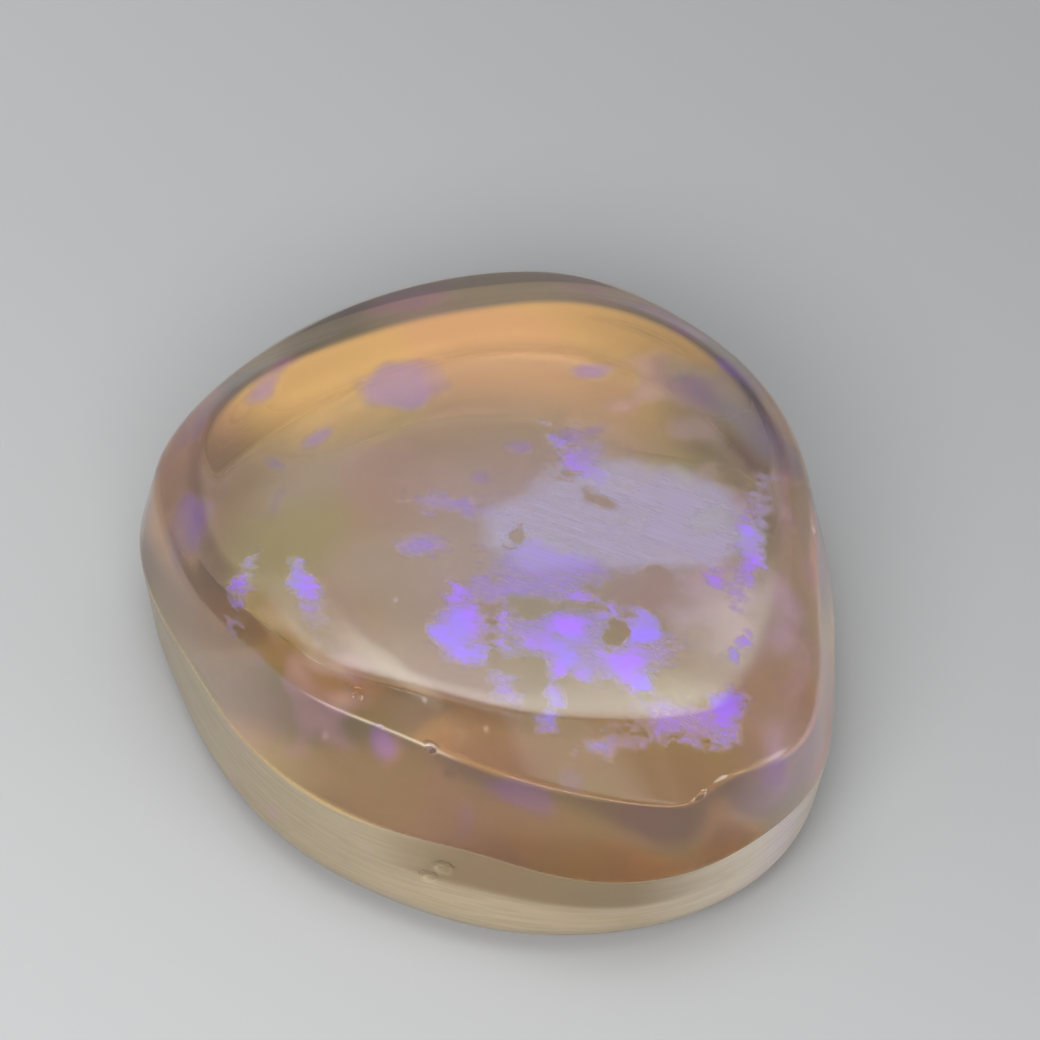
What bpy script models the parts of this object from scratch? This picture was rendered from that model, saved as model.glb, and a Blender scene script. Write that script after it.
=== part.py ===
"""Crystal opal: one free-form polished stone, resting on its flat ground base.

The skin is lofted between level outlines. From the bottom up they are the base edge, the heel where
the underside turns up, the belly line, the ridge line and the rim of the domed face. Each outline is
given as bearing and radius about the stone's pole, and each turn of the profile has its own rounding.
"""

import math

import bmesh
import bpy
import numpy as np
from mathutils import Vector

MM = 0.001

# Heights above the base, in millimetres
HEEL_HEIGHT = 0.42
BELLY_HEIGHT = 1.98
RIDGE_HEIGHT = 3.50
RIM_HEIGHT = 4.27
DOME_RISE = 0.30

# How far the flat base lies inside the heel, in millimetres
BASE_INSET = 0.55

# The pole of the outlines, measured from the middle of the stone, in millimetres
POLE = (-0.005, -0.006)

# Outlines as bearing in degrees, turning from +X towards +Y, and radius in millimetres
HEEL = (
    (0, 5.06), (30, 5.08), (60, 5.22), (75, 5.22), (90, 5.06), (120, 4.86), (150, 5.14), (165, 5.20),
    (186, 4.75), (198, 4.62), (210, 4.58), (232, 4.64), (254, 4.82), (266, 5.03), (279, 5.29),
    (291, 5.53), (304, 5.76), (315, 5.85), (325, 5.76), (338, 5.45),
)
BELLY = (
    (0, 5.25), (15, 5.25), (30, 5.34), (60, 5.47), (75, 5.49), (90, 5.32), (120, 5.12), (135, 5.17),
    (150, 5.42), (165, 5.45), (180, 5.04), (195, 4.65), (210, 4.54), (240, 4.57), (255, 4.63),
    (270, 4.86), (285, 5.50), (300, 5.99), (315, 6.10), (325, 6.05), (340, 5.58),
)
RIDGE = (
    (0, 4.97), (30, 5.14), (60, 5.26), (75, 5.33), (90, 5.20), (120, 5.00), (150, 5.12), (165, 5.17),
    (180, 4.80), (195, 4.46), (210, 4.10), (225, 3.99), (240, 3.88), (255, 3.97), (270, 4.38),
    (285, 4.97), (295, 5.55), (302, 5.86), (307, 5.77), (312, 5.91), (317, 6.08), (322, 6.07),
    (330, 5.76), (345, 5.18),
)
RIM = (
    (0, 4.55), (30, 4.56), (45, 4.51), (60, 4.37), (75, 4.12), (90, 3.86), (105, 3.78), (120, 3.84),
    (135, 4.08), (150, 4.40), (165, 4.46), (180, 4.33), (195, 4.16), (210, 3.88), (225, 3.82),
    (240, 3.66), (255, 3.56), (270, 3.71), (285, 3.98), (300, 4.45), (315, 5.05), (330, 4.87), (345, 4.60),
)

# Rounding of each turn of the profile: how far along its two sides it reaches, in millimetres
BASE_ROUND = 0.22
HEEL_ROUND = 0.34
BELLY_ROUND = 0.10
RIDGE_ROUND_FRONT = 0.05
RIDGE_ROUND_BACK = 0.26
RIM_ROUND_FRONT = 0.14
RIM_ROUND_BACK = 0.34

# Bearings between which the front edges stay crisp
FRONT_FROM = 212.0
FRONT_TO = 314.0
FRONT_BLEND = 24.0

# Small damage: bearing in degrees, radius and height of the ball that bites, and its size, in millimetres
BITES = (
    ("pit_large", 260.2, 4.84, 1.52, 0.19),
    ("pit_small", 262.9, 4.87, 1.50, 0.15),
    ("ridge_chip", 258.2, 4.13, 3.55, 0.13),
    ("bevel_crater", 239.6, 3.86, 3.95, 0.15),
    ("edge_nick", 4.6, 5.02, 3.52, 0.13),
)

COLUMNS = 84
ROUND_STEPS = 3
DOME_STEPS = 5

OPAL_COLOUR = (0.60, 0.42, 0.24, 1.0)
OPAL_ROUGHNESS = 0.05
OPAL_INDEX = 1.45
OPAL_TRANSMISSION = 0.85


def clear_scene():
    for item in list(bpy.data.objects):
        bpy.data.objects.remove(item, do_unlink=True)


def closed_curve(stations):
    """A smooth closed curve through the stations, as a function from bearing to radius."""
    bearings = np.array([bearing for bearing, _ in stations], float)
    radii = np.array([radius for _, radius in stations], float)
    count = len(bearings)
    gaps = np.diff(np.append(bearings, bearings[0] + 360.0))
    slopes = np.diff(np.append(radii, radii[0])) / gaps
    matrix = np.zeros((count, count))
    for i in range(count):
        matrix[i, i - 1] = gaps[i - 1]
        matrix[i, i] = 2.0 * (gaps[i - 1] + gaps[i])
        matrix[i, (i + 1) % count] = gaps[i]
    bends = np.linalg.solve(matrix, 6.0 * (slopes - np.roll(slopes, 1)))

    def radius_at(bearing):
        turned = (bearing - bearings[0]) % 360.0 + bearings[0]
        i = int(np.searchsorted(bearings, turned, side="right")) - 1
        after = (i + 1) % count
        step = turned - bearings[i]
        rest = gaps[i] - step
        cubic = (bends[i] * rest ** 3 + bends[after] * step ** 3) / (6.0 * gaps[i])
        near = (radii[i] / gaps[i] - bends[i] * gaps[i] / 6.0) * rest
        far = (radii[after] / gaps[i] - bends[after] * gaps[i] / 6.0) * step
        return float(cubic + near + far)

    return radius_at


def smooth_step(value):
    held = min(max(value, 0.0), 1.0)
    return held * held * (3.0 - 2.0 * held)


def front_share(bearing):
    """1 along the crisp front edges, 0 round the soft back, with a smooth change between."""
    turned = bearing % 360.0
    rising = smooth_step((turned - FRONT_FROM) / FRONT_BLEND + 0.5)
    falling = smooth_step((FRONT_TO - turned) / FRONT_BLEND + 0.5)
    return rising * falling


def rounded_turn(before, turn, after, reach):
    """Points of a rounded turn: a parabola from one side to the other, never past half a side."""
    to_before = Vector(before) - Vector(turn)
    to_after = Vector(after) - Vector(turn)
    start = Vector(turn) + to_before.normalized() * min(reach, 0.45 * to_before.length)
    end = Vector(turn) + to_after.normalized() * min(reach, 0.45 * to_after.length)
    points = []
    for i in range(ROUND_STEPS + 1):
        share = i / ROUND_STEPS
        points.append((1 - share) ** 2 * start + 2 * share * (1 - share) * Vector(turn) + share ** 2 * end)
    return points


def dome_height(share):
    """Height of the domed face where share runs from 0 at its rim to 1 at its middle."""
    return RIM_HEIGHT + DOME_RISE * (1.0 - (1.0 - share) ** 2)


def profile(bearing, curves):
    """The profile at a bearing, as radius and height, from the base edge up to the last ring of the dome."""
    heel = (curves["heel"](bearing), HEEL_HEIGHT)
    base = (heel[0] - BASE_INSET, 0.0)
    belly = (curves["belly"](bearing), BELLY_HEIGHT)
    ridge = (curves["ridge"](bearing), RIDGE_HEIGHT)
    rim_radius = curves["rim"](bearing)
    rim = (rim_radius, RIM_HEIGHT)
    front = front_share(bearing)
    ridge_round = RIDGE_ROUND_BACK + (RIDGE_ROUND_FRONT - RIDGE_ROUND_BACK) * front
    rim_round = RIM_ROUND_BACK + (RIM_ROUND_FRONT - RIM_ROUND_BACK) * front
    on_dome = (rim_radius * 0.8, dome_height(0.2))
    points = []
    points += rounded_turn((0.0, 0.0), base, heel, BASE_ROUND)
    points += rounded_turn(base, heel, belly, HEEL_ROUND)
    points += rounded_turn(heel, belly, ridge, BELLY_ROUND)
    points += rounded_turn(belly, ridge, rim, ridge_round)
    points += rounded_turn(ridge, rim, on_dome, rim_round)
    for i in range(1, DOME_STEPS):
        share = 0.2 + 0.8 * (i - 1) / (DOME_STEPS - 1)
        points.append(Vector((rim_radius * (1.0 - share), dome_height(share))))
    return points


def place(bearing, radius, height):
    turn = math.radians(bearing)
    x = POLE[0] + radius * math.cos(turn)
    y = POLE[1] + radius * math.sin(turn)
    return Vector((x, y, height)) * MM


def loft_stone(mesh):
    """One closed skin: the flat base, the rings of the profile, and the middle of the dome."""
    curves = {
        "heel": closed_curve(HEEL),
        "belly": closed_curve(BELLY),
        "ridge": closed_curve(RIDGE),
        "rim": closed_curve(RIM),
    }
    skin = bmesh.new()
    columns = []
    for i in range(COLUMNS):
        bearing = 360.0 * i / COLUMNS
        points = profile(bearing, curves)
        columns.append([skin.verts.new(place(bearing, point[0], point[1])) for point in points])
    foot = skin.verts.new(place(0.0, 0.0, 0.0))
    crown = skin.verts.new(place(0.0, 0.0, dome_height(1.0)))
    for i in range(COLUMNS):
        here = columns[i]
        there = columns[(i + 1) % COLUMNS]
        skin.faces.new((foot, there[0], here[0]))
        for j in range(len(here) - 1):
            skin.faces.new((here[j], there[j], there[j + 1], here[j + 1]))
        skin.faces.new((here[-1], there[-1], crown))
    bmesh.ops.recalc_face_normals(skin, faces=skin.faces[:])
    skin.to_mesh(mesh)
    skin.free()


def bite(name, bearing, radius, height, size):
    """A small rounded cutter that leaves one pit or chip in the stone."""
    mesh = bpy.data.meshes.new(name)
    ball = bmesh.new()
    bmesh.ops.create_icosphere(ball, subdivisions=1, radius=size * MM)
    ball.to_mesh(mesh)
    ball.free()
    cutter = bpy.data.objects.new(name, mesh)
    cutter.location = place(bearing, radius, height)
    cutter.hide_render = True
    cutter.display_type = "WIRE"
    bpy.context.scene.collection.objects.link(cutter)
    return cutter


def opal_material():
    material = bpy.data.materials.new("opal")
    material.use_nodes = True
    shader = material.node_tree.nodes["Principled BSDF"]
    shader.inputs["Base Color"].default_value = OPAL_COLOUR
    shader.inputs["Roughness"].default_value = OPAL_ROUGHNESS
    shader.inputs["Metallic"].default_value = 0.0
    shader.inputs["IOR"].default_value = OPAL_INDEX
    shader.inputs["Transmission Weight"].default_value = OPAL_TRANSMISSION
    return material


def opal_stone():
    mesh = bpy.data.meshes.new("opal_stone")
    loft_stone(mesh)
    mesh.shade_smooth()
    mesh.set_sharp_from_angle(angle=math.radians(25.0))
    mesh.materials.append(opal_material())
    stone = bpy.data.objects.new("opal_stone", mesh)
    bpy.context.scene.collection.objects.link(stone)
    for values in BITES:
        cutter = bite(*values)
        cut = stone.modifiers.new(cutter.name, "BOOLEAN")
        cut.operation = "DIFFERENCE"
        cut.solver = "EXACT"
        cut.object = cutter
    return stone


def main():
    clear_scene()
    opal_stone()


main()
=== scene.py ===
"""Crystal opal, dressed: the polished, see-through stone with its play of colour, on a plain pale floor."""

import math

import bmesh
import bpy
import numpy as np
from bpy.props import FloatProperty, FloatVectorProperty, IntProperty, PointerProperty
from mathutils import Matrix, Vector, noise


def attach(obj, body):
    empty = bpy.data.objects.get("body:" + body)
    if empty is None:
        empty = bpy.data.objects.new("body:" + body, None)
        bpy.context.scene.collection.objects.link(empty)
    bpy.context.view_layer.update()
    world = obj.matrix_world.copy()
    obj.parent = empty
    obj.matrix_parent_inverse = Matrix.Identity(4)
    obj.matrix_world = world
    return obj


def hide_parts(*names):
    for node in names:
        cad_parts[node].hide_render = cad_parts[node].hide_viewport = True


bl_info = {
    "name": "Crystal Opal",
    "version": (1, 0, 0),
    "blender": (4, 5, 0),
    "location": "View3D > Sidebar > Opal",
    "description": "Models one polished free-form crystal opal and its plain studio stage",
    "category": "Object",
}

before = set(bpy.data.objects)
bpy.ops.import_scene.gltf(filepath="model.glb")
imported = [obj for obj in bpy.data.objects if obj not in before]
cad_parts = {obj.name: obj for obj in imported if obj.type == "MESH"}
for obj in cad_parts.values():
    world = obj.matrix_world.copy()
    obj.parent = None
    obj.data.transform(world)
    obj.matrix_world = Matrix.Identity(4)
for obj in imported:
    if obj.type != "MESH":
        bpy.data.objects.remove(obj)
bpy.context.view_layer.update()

MM = 0.001

# The pole of the outlines, measured from the middle of the stone, in millimetres
POLE = (-0.005, -0.006)

# Outlines as bearing in degrees, turning from +X towards +Y, and radius in millimetres
HEEL = (
    (0, 5.06), (30, 5.08), (60, 5.22), (75, 5.22), (90, 5.06), (120, 4.86), (150, 5.14), (165, 5.20),
    (186, 4.75), (198, 4.62), (210, 4.58), (232, 4.64), (254, 4.82), (266, 5.03), (279, 5.29),
    (291, 5.53), (304, 5.76), (315, 5.85), (325, 5.76), (338, 5.45),
)
BELLY = (
    (0, 5.25), (15, 5.25), (30, 5.34), (60, 5.47), (75, 5.49), (90, 5.32), (120, 5.12), (135, 5.17),
    (150, 5.42), (165, 5.45), (180, 5.04), (195, 4.65), (210, 4.54), (240, 4.57), (255, 4.63),
    (270, 4.86), (285, 5.50), (300, 5.99), (315, 6.10), (325, 6.05), (340, 5.58),
)
RIDGE = (
    (0, 4.97), (30, 5.14), (60, 5.26), (75, 5.33), (90, 5.20), (120, 5.00), (150, 5.12), (165, 5.17),
    (180, 4.80), (195, 4.46), (210, 4.10), (225, 3.99), (240, 3.88), (255, 3.97), (270, 4.38),
    (285, 4.97), (295, 5.55), (302, 5.86), (307, 5.77), (312, 5.91), (317, 6.08), (322, 6.07),
    (330, 5.76), (345, 5.18),
)
RIM = (
    (0, 4.55), (30, 4.56), (45, 4.51), (60, 4.37), (75, 4.12), (90, 3.86), (105, 3.78), (120, 3.84),
    (135, 4.08), (150, 4.40), (165, 4.46), (180, 4.33), (195, 4.16), (210, 3.88), (225, 3.82),
    (240, 3.66), (255, 3.56), (270, 3.71), (285, 3.98), (300, 4.45), (315, 5.05), (330, 4.87), (345, 4.60),
)

# Rounding of each turn of the profile: how far along its two sides it reaches, in millimetres
BASE_INSET = 0.55
BASE_ROUND = 0.22
HEEL_ROUND = 0.34
BELLY_ROUND = 0.10
RIDGE_ROUND_FRONT = 0.10
RIDGE_ROUND_BACK = 0.26
RIM_ROUND_FRONT = 0.14
RIM_ROUND_BACK = 0.34

# A rounding never reaches past this share of a side
LONGEST_REACH = 0.45

# How far the rounding of the rim reaches onto the domed face, as bearing and millimetres
RIM_EASE = (
    (0, 0.34), (60, 0.34), (150, 0.34), (194, 0.50), (214, 0.90), (230, 0.80), (246, 0.32), (262, 0.20),
    (276, 0.24), (290, 0.55), (304, 0.80), (320, 0.65), (342, 0.38),
)

# Bearings between which the front edges stay crisp, in degrees
FRONT_FROM = 212.0
FRONT_TO = 314.0
FRONT_BLEND = 24.0

# Points along each stretch of the profile
FOOT_STEPS = 14
ROUND_STEPS = 9
SIDE_STEPS = (7, 32, 16, 13)
DOME_STEPS = 74
FRONT_DENSITY = 2.6

# Dents in the polish: bearing, radius and height of the middle, half width, half height and depth, in mm
DENTS = (
    ("pit", 262.1, 4.80, 1.54, 0.19, 0.12, 0.08),
    ("pit_tail", 259.6, 4.80, 1.27, 0.17, 0.09, 0.06),
    ("ridge_chip", 258.2, 4.05, 3.50, 0.10, 0.10, 0.06),
    ("ridge_chip_left", 246.0, 3.92, 3.50, 0.07, 0.06, 0.03),
    ("ridge_chip_right", 303.5, 5.84, 3.50, 0.08, 0.06, 0.04),
    ("bevel_crater", 239.6, 3.78, 3.90, 0.12, 0.12, 0.06),
    ("bevel_crater_small", 236.6, 3.80, 3.98, 0.07, 0.07, 0.04),
    ("wall_dimple", 262.5, 4.25, 3.10, 0.06, 0.06, 0.03),
    ("edge_nick", 2.3, 4.95, 3.50, 0.14, 0.08, 0.07),
)

# Slow waves left by hand polishing: how high and how long, in millimetres
WAVE_HEIGHT = 0.010
WAVE_LENGTH = 3.2

# The waves start at this height and have grown full this much higher, in millimetres
WAVE_START = 0.1
WAVE_GROWTH = 0.6

# Play of colour: middle x, y and z, half sizes along and across, in millimetres, and turn in degrees
VIOLET_FLASHES = (
    ("blob", -0.37, -2.40, 4.50, 0.25, 0.48, 0),
    ("blob_arm", -0.64, -2.46, 4.50, 0.16, 0.16, 0),
    ("blob_top", -0.44, -1.92, 4.50, 0.11, 0.16, 0),
    ("blob_foot", -0.28, -2.86, 4.50, 0.21, 0.16, 0),
    ("sliver", 0.27, -2.42, 4.50, 0.07, 0.30, 0),
    ("chain_top", 1.22, -2.44, 4.50, 0.29, 0.26, -20),
    ("chain_left", 0.92, -2.69, 4.50, 0.36, 0.15, 0),
    ("chain_core", 1.14, -3.02, 4.50, 0.21, 0.26, 0),
    ("chain_foot", 1.45, -3.26, 4.45, 0.20, 0.14, 0),
    ("chain_low", 1.98, -3.10, 4.45, 0.46, 0.25, -10),
    ("chain_end", 2.28, -3.34, 4.45, 0.22, 0.17, 0),
    ("lobe", 2.36, -2.50, 4.50, 0.30, 0.36, 10),
    ("lobe_small", 1.90, -2.16, 4.50, 0.20, 0.17, 0),
    ("dash", 1.39, -1.90, 4.50, 0.20, 0.08, -12),
    ("spark", 1.19, 0.70, 4.55, 0.08, 0.28, 25),
    ("right_top", 3.93, -0.30, 4.35, 0.07, 0.25, 0),
    ("right_mid", 4.03, -0.97, 4.35, 0.10, 0.29, -10),
    ("right_foot", 3.95, -1.41, 4.35, 0.10, 0.13, 0),
    ("right_small", 3.43, -1.45, 4.40, 0.09, 0.11, 0),
    ("right_dot", 3.86, -2.58, 4.35, 0.07, 0.12, 0),
    ("right_speck", 3.66, -2.80, 4.35, 0.07, 0.07, 0),
    ("wedge", 3.52, -3.78, 4.20, 0.24, 0.36, -25),
    ("wedge_low", 2.63, -4.08, 4.05, 0.22, 0.14, -5),
    ("bevel_dash", 1.88, -4.27, 3.95, 0.28, 0.09, 0),
    ("bevel_speck", 2.24, -4.13, 4.00, 0.07, 0.06, 0),
    ("bevel_dot", 0.96, -3.95, 4.05, 0.11, 0.10, 0),
    ("rim_patch", 1.04, -3.62, 4.30, 0.14, 0.12, 0),
    ("rim_small", 0.24, -3.36, 4.35, 0.13, 0.09, -15),
    ("left_oval", -3.66, -1.42, 4.35, 0.11, 0.28, -22),
    ("left_leaf", -2.78, -1.55, 4.40, 0.12, 0.36, 18),
)
VIOLET_MISTS = (
    ("upper", 0.95, -1.35, 4.50, 0.80, 0.36, -12),
    ("upper_core", 0.65, -1.66, 4.50, 0.68, 0.28, -14),
    ("chain_halo", 1.45, -2.70, 4.50, 1.20, 0.60, -12),
    ("blob_halo", -0.40, -2.42, 4.50, 0.36, 0.60, 0),
    ("spark_halo", 1.50, 0.68, 4.50, 0.18, 0.40, 20),
    ("west_dash", -0.45, -0.20, 4.50, 0.30, 0.10, -8),
    ("west_dash_low", -0.97, -0.95, 4.50, 0.20, 0.16, -15),
    ("right_halo", 3.94, -0.80, 4.35, 0.16, 0.80, -10),
    ("foot_halo", 3.00, -3.93, 4.15, 0.60, 0.20, -5),
    ("leaf_foot", -2.62, -1.95, 4.40, 0.16, 0.36, 18),
    ("rim_small_low", 0.28, -3.60, 4.30, 0.16, 0.12, 0),
    ("upper_left", -0.05, -1.75, 4.50, 0.26, 0.20, -14),
)
# Painted reflection: a lavender haze where the domed face mirrors the bright surroundings
PAINTED_REFLECTION_VEILS = (
    ("haze", 2.32, -0.34, 4.50, 1.70, 1.00, -8),
    ("haze_left", 0.95, -0.70, 4.50, 0.95, 0.72, -14),
)
CLEAR_GAPS = (
    ("slash", 1.45, 0.12, 4.50, 0.46, 0.14, -38),
    ("notch", 0.45, -0.73, 4.50, 0.11, 0.24, -30),
    ("streak", 2.27, -1.60, 4.50, 0.50, 0.17, 22),
    ("gap", 0.70, -2.06, 4.50, 0.27, 0.22, 0),
    ("gap_mid", 1.90, -2.52, 4.50, 0.20, 0.32, 0),
    ("gap_strip", 1.36, -2.08, 4.50, 0.34, 0.08, -8),
    ("gap_low", 0.70, -3.06, 4.45, 0.22, 0.20, 0),
)
FAINT_VIOLETS = (
    ("left_edge", -4.55, -0.10, 4.10, 0.34, 0.46, 0),
    ("left_rim", -4.50, 1.90, 3.60, 0.22, 0.90, -20),
    ("back_rim", -1.12, 4.30, 3.90, 0.60, 0.28, 8),
    ("back_rim_right", 1.45, 4.55, 3.80, 0.24, 0.10, -8),
    ("back_shoulder", 2.70, 3.85, 3.80, 0.80, 0.22, -32),
    ("right_rim", 3.80, 2.75, 3.90, 0.50, 0.20, -50),
    ("dash", -2.56, 1.17, 4.42, 0.20, 0.08, 35),
    ("dot", -3.14, 0.68, 4.38, 0.09, 0.08, 0),
    ("speck", -3.18, -0.15, 4.38, 0.07, 0.13, 0),
    ("back_patch", -1.32, 2.18, 4.47, 0.64, 0.42, 5),
    ("back_streak", -3.24, 2.41, 4.30, 0.42, 0.11, 58),
    ("glow_spot", 1.56, 2.44, 4.45, 0.20, 0.14, 0),
    ("wisps", 1.52, 1.24, 4.50, 0.36, 0.11, 10),
    ("specks", 0.59, 0.90, 4.50, 0.14, 0.09, 0),
    ("specks_left", -0.15, 0.28, 4.50, 0.18, 0.10, 0),
)
WALL_VIOLETS = (
    ("ridge_spot", 1.30, -4.70, 3.50, 0.18, 0.16, 0),
    ("wall_streak", -1.65, -3.66, 3.30, 0.12, 0.20, 0),
    ("wall_mid", 0.62, -4.70, 3.22, 0.62, 0.30, 0),
    ("wall_low", -0.27, -4.57, 2.50, 0.14, 0.25, 0),
    ("corner", 4.22, -4.22, 3.20, 0.26, 0.26, 0),
)
PINK_VEILS = (
    ("right_glow", 3.00, 2.00, 4.35, 0.80, 0.50, -35),
    ("right_body", 3.41, -1.70, 4.40, 0.50, 1.10, 0),
    ("right_bevel", 4.55, -1.70, 4.00, 0.20, 1.30, 0),
    ("haze_right", 3.10, -0.10, 4.50, 0.90, 0.55, 0),
    ("ridge_left", -2.41, -3.14, 3.55, 0.28, 0.09, -35),
)
MILKY_VEILS = (
    ("middle", 0.10, -0.10, 4.50, 1.80, 0.90, -10),
    ("lower", 0.60, -1.20, 4.50, 2.20, 1.20, -8),
    ("right", 3.20, -2.00, 4.45, 0.90, 1.00, 0),
    ("corner", 4.50, -3.90, 2.80, 0.45, 0.60, 0),
)

# Painted shade in the hidden back of the body, seen through the face: the same values for each patch
PAINTED_SHADE_PATCHES = (
    ("right_back", 3.50, 3.40, 0.20, 1.00, 0.75, -42),
    ("right_side", 4.20, 2.10, 0.20, 0.40, 0.80, -20),
)

# Painted shade: a dark veil over the right back of the face
PAINTED_SHADE_VEILS = (
    ("right_back", 3.68, 1.72, 4.35, 0.95, 0.36, -45),
)

# Painted reflections: pale streaks in the polish along the front left rim
PAINTED_RIM_REFLECTIONS = (
    ("outer", -2.98, -2.26, 4.30, 0.90, 0.12, -48),
    ("inner", -1.83, -2.68, 4.35, 1.01, 0.10, -41),
)

# Small marks: the same values for each, on the bare skin
PIT_SHADES = (
    ("pit", -0.66, -4.75, 1.56, 0.19, 0.40, 0),
    ("pit_tail", -0.87, -4.72, 1.29, 0.17, 0.40, 0),
)
PALE_SPOTS = (
    ("wall_high", -2.76, -3.15, 3.20, 0.05, 0.05, 0),
    ("wall_low", -2.41, -3.35, 2.95, 0.05, 0.05, 0),
    ("bevel", 0.00, -3.95, 3.95, 0.04, 0.04, 0),
    ("face_back", -1.39, 0.33, 4.48, 0.04, 0.03, 0),
    ("face_front", -1.36, -1.92, 4.45, 0.04, 0.03, 0),
    ("wall_right", 3.33, -4.90, 2.55, 0.04, 0.04, 0),
    ("under_right", 1.61, -5.10, 1.55, 0.05, 0.05, 0),
    ("under_mid", 0.53, -4.85, 1.50, 0.05, 0.05, 0),
)
NICK_SPOTS = (
    ("nick", 4.94, 0.19, 3.50, 0.09, 0.12, 0),
)
RUST_MARKS = (
    ("nick", 4.93, 0.42, 3.50, 0.08, 0.12, 0),
    ("nick_low", 4.95, 0.02, 3.45, 0.07, 0.08, 0),
    ("right_ridge", 4.94, -0.30, 3.45, 0.07, 0.60, 0),
)

# How deep under and over its middle each kind of patch or mark reaches, in millimetres
PATCH_DEPTH = 0.9
WALL_DEPTH = 0.26
PIT_DEPTH = 0.11
MARK_DEPTH = 0.08

# A reach this large, in millimetres, means that no patch is near
FAR_AWAY = 9.0

# Heights between which the finish of the skin changes, in millimetres
FOOT_TO_GROUND = (0.02, 0.10)
PAINTED_GLOW_GROWS = (0.05, 0.30)
GROUND_GROWS_PALE = (0.10, 0.30)
PAINTED_GLOW_TO_GROUND = (0.70, 0.95)
GROUND_TO_SHADE = (1.15, 1.35)
SHADE_TO_SEAM = (1.92, 1.96)
SHADE_TO_WALL = (1.96, 2.01)
SEAM_TO_WALL = (2.00, 2.05)
OLIVE_TO_WALL = (2.3, 3.0)
WALL_TO_GLINT = (3.43, 3.46)
WALL_TO_SHOULDER = (3.46, 3.50)
GLINT_TO_SHOULDER = (3.48, 3.51)
SHOULDER_TO_LEFT_SHADE = (3.7, 4.1)
SHOULDER_TO_UNDER_RIM = (3.92, 4.12)
UNDER_RIM_TO_RIM = (4.20, 4.26)
SHOULDER_TO_FACE = (4.20, 4.27)
RIM_HIGHLIGHT_TO_FACE = (4.29, 4.46)

# Clearness and frost of each finish
FOOT_FINISH = (0.90, 0.12)
GROUND_FINISH = (0.40, 0.34)
SHADE_FINISH = (0.45, 0.34)
PALE_GROUND_FINISH = (0.35, 0.34)
PAINTED_GLOW_FINISH = (0.02, 0.26)
PAINTED_SHADE_FINISH = (0.35, 0.26)
PIT_FINISH = (0.45, 0.20)
WALL_FINISH = (0.95, 0.13)
LEFT_WALL_FINISH = (0.90, 0.17)
RIGHT_WALL_FINISH = (0.90, 0.13)
SEAM_FINISH = (0.50, 0.12)
SHOULDER_FINISH = (0.97, 0.09)
RIGHT_SHOULDER_FINISH = (0.92, 0.03)
CORNER_FINISH = (0.97, 0.26)
POLISH = (0.97, 0.03)
PAINTED_GLINT_FINISH = (0.60, 0.05)
RUST_FINISH = (0.60, 0.05)
SPOT_FINISH = (0.30, 0.05)
NICK_FINISH = (0.05, 0.20)

# The clear opal drifts slowly between these two casts
OLIVE_CAST = (0.95, 1.00, 0.84)
ROSE_CAST = (1.00, 0.92, 1.00)

# Slow noise: how long its waves are, in millimetres, and its seed
CAST_CLOUDS = (1.8, 3.0)
EDGE_CLOUDS = (0.5, 11.0)
VEIL_CLOUDS = (1.3, 31.0)
FLASH_CLOUDS = (0.6, 23.0)

# Depth of the fine scratches in the ground surface, in millimetres
SCRATCH_DEPTH = 0.006

# Noise in the material: waves to the millimetre, detail and roughness
FRINGE_NOISE = (4.5, 2.6, 0.62)
SLOW_NOISE = (1.8, 3.0, 0.6)
HAIRLINE_NOISE = (1.4, 3.0, 0.6)
SCRATCH_NOISE = (0.8, 3.0, 0.7)

# How the noise is stretched along each axis, and which way it runs, in degrees
FRINGE_STRETCH = (1.7, 1.0, 1.0)
FRINGE_TURN = -18.0
HAIRLINE_STRETCH = (1.0, 0.05, 1.0)
HAIRLINE_TURN = -21.0
SCRATCH_STRETCH = (1.0, 1.0, 0.04)

# How far the noise moves the edges of patches, end to end, and how far the flashes are drawn in, in mm
FRINGE_SWING = 0.66
SLOW_SWING = 0.50
FLASH_SHRINK = 0.05

# How soft the edge of each kind of patch is, in millimetres
GAP_SOFT = 0.06
REFLECTION_SOFT = 0.18
MIST_SOFT = 0.15
FLASH_SOFT = 0.16

# The least and the most that each kind of patch hides of what is under it
REFLECTION_HIDES = (0.22, 0.31)
MIST_HIDES = (0.22, 0.42)
FLASH_HIDES = (0.55, 0.86)

# Scratches grow with the frost between these values; they darken, roughen and bump the skin this much
SCRATCHED_FROST = (0.28, 0.34)
SCRATCH_DARKENS = 0.30
SCRATCH_GRAIN = 0.25
SCRATCH_BUMP = 0.3

# Optics of the body: index of refraction, and how strongly a metre of it absorbs
OPAL_INDEX = 1.45
HONEY_DENSITY = 220.0

# A veil has half of its full colour where it hides this share of what is under it
VEIL_HALF = 0.1

# The same for the flashes, larger so that their soft edges stay light
FLASH_HALF = 0.2

# Studio: brightness of the ceiling and of the walls, and how steep a direction has to be to meet the ceiling
CEILING_BRIGHTNESS = 5.5
WALL_BRIGHTNESS = 0.55
CEILING_EDGE = 0.88
SKY_COLOUR = (0.98, 0.99, 1.0)

# The paper on the floor: its size and how far under the base it lies, in metres
FLOOR_SIZE = 1.2
FLOOR_DROP = 0.00002
FLOOR_ROUGHNESS = 0.8

# Painted light: the paper grows paler towards this direction, in degrees, between these places, in
# millimetres
FLOOR_TURN = 225.0
FLOOR_PAINTED_LIGHT_GROWS = (-20.0, 16.0)

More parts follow.
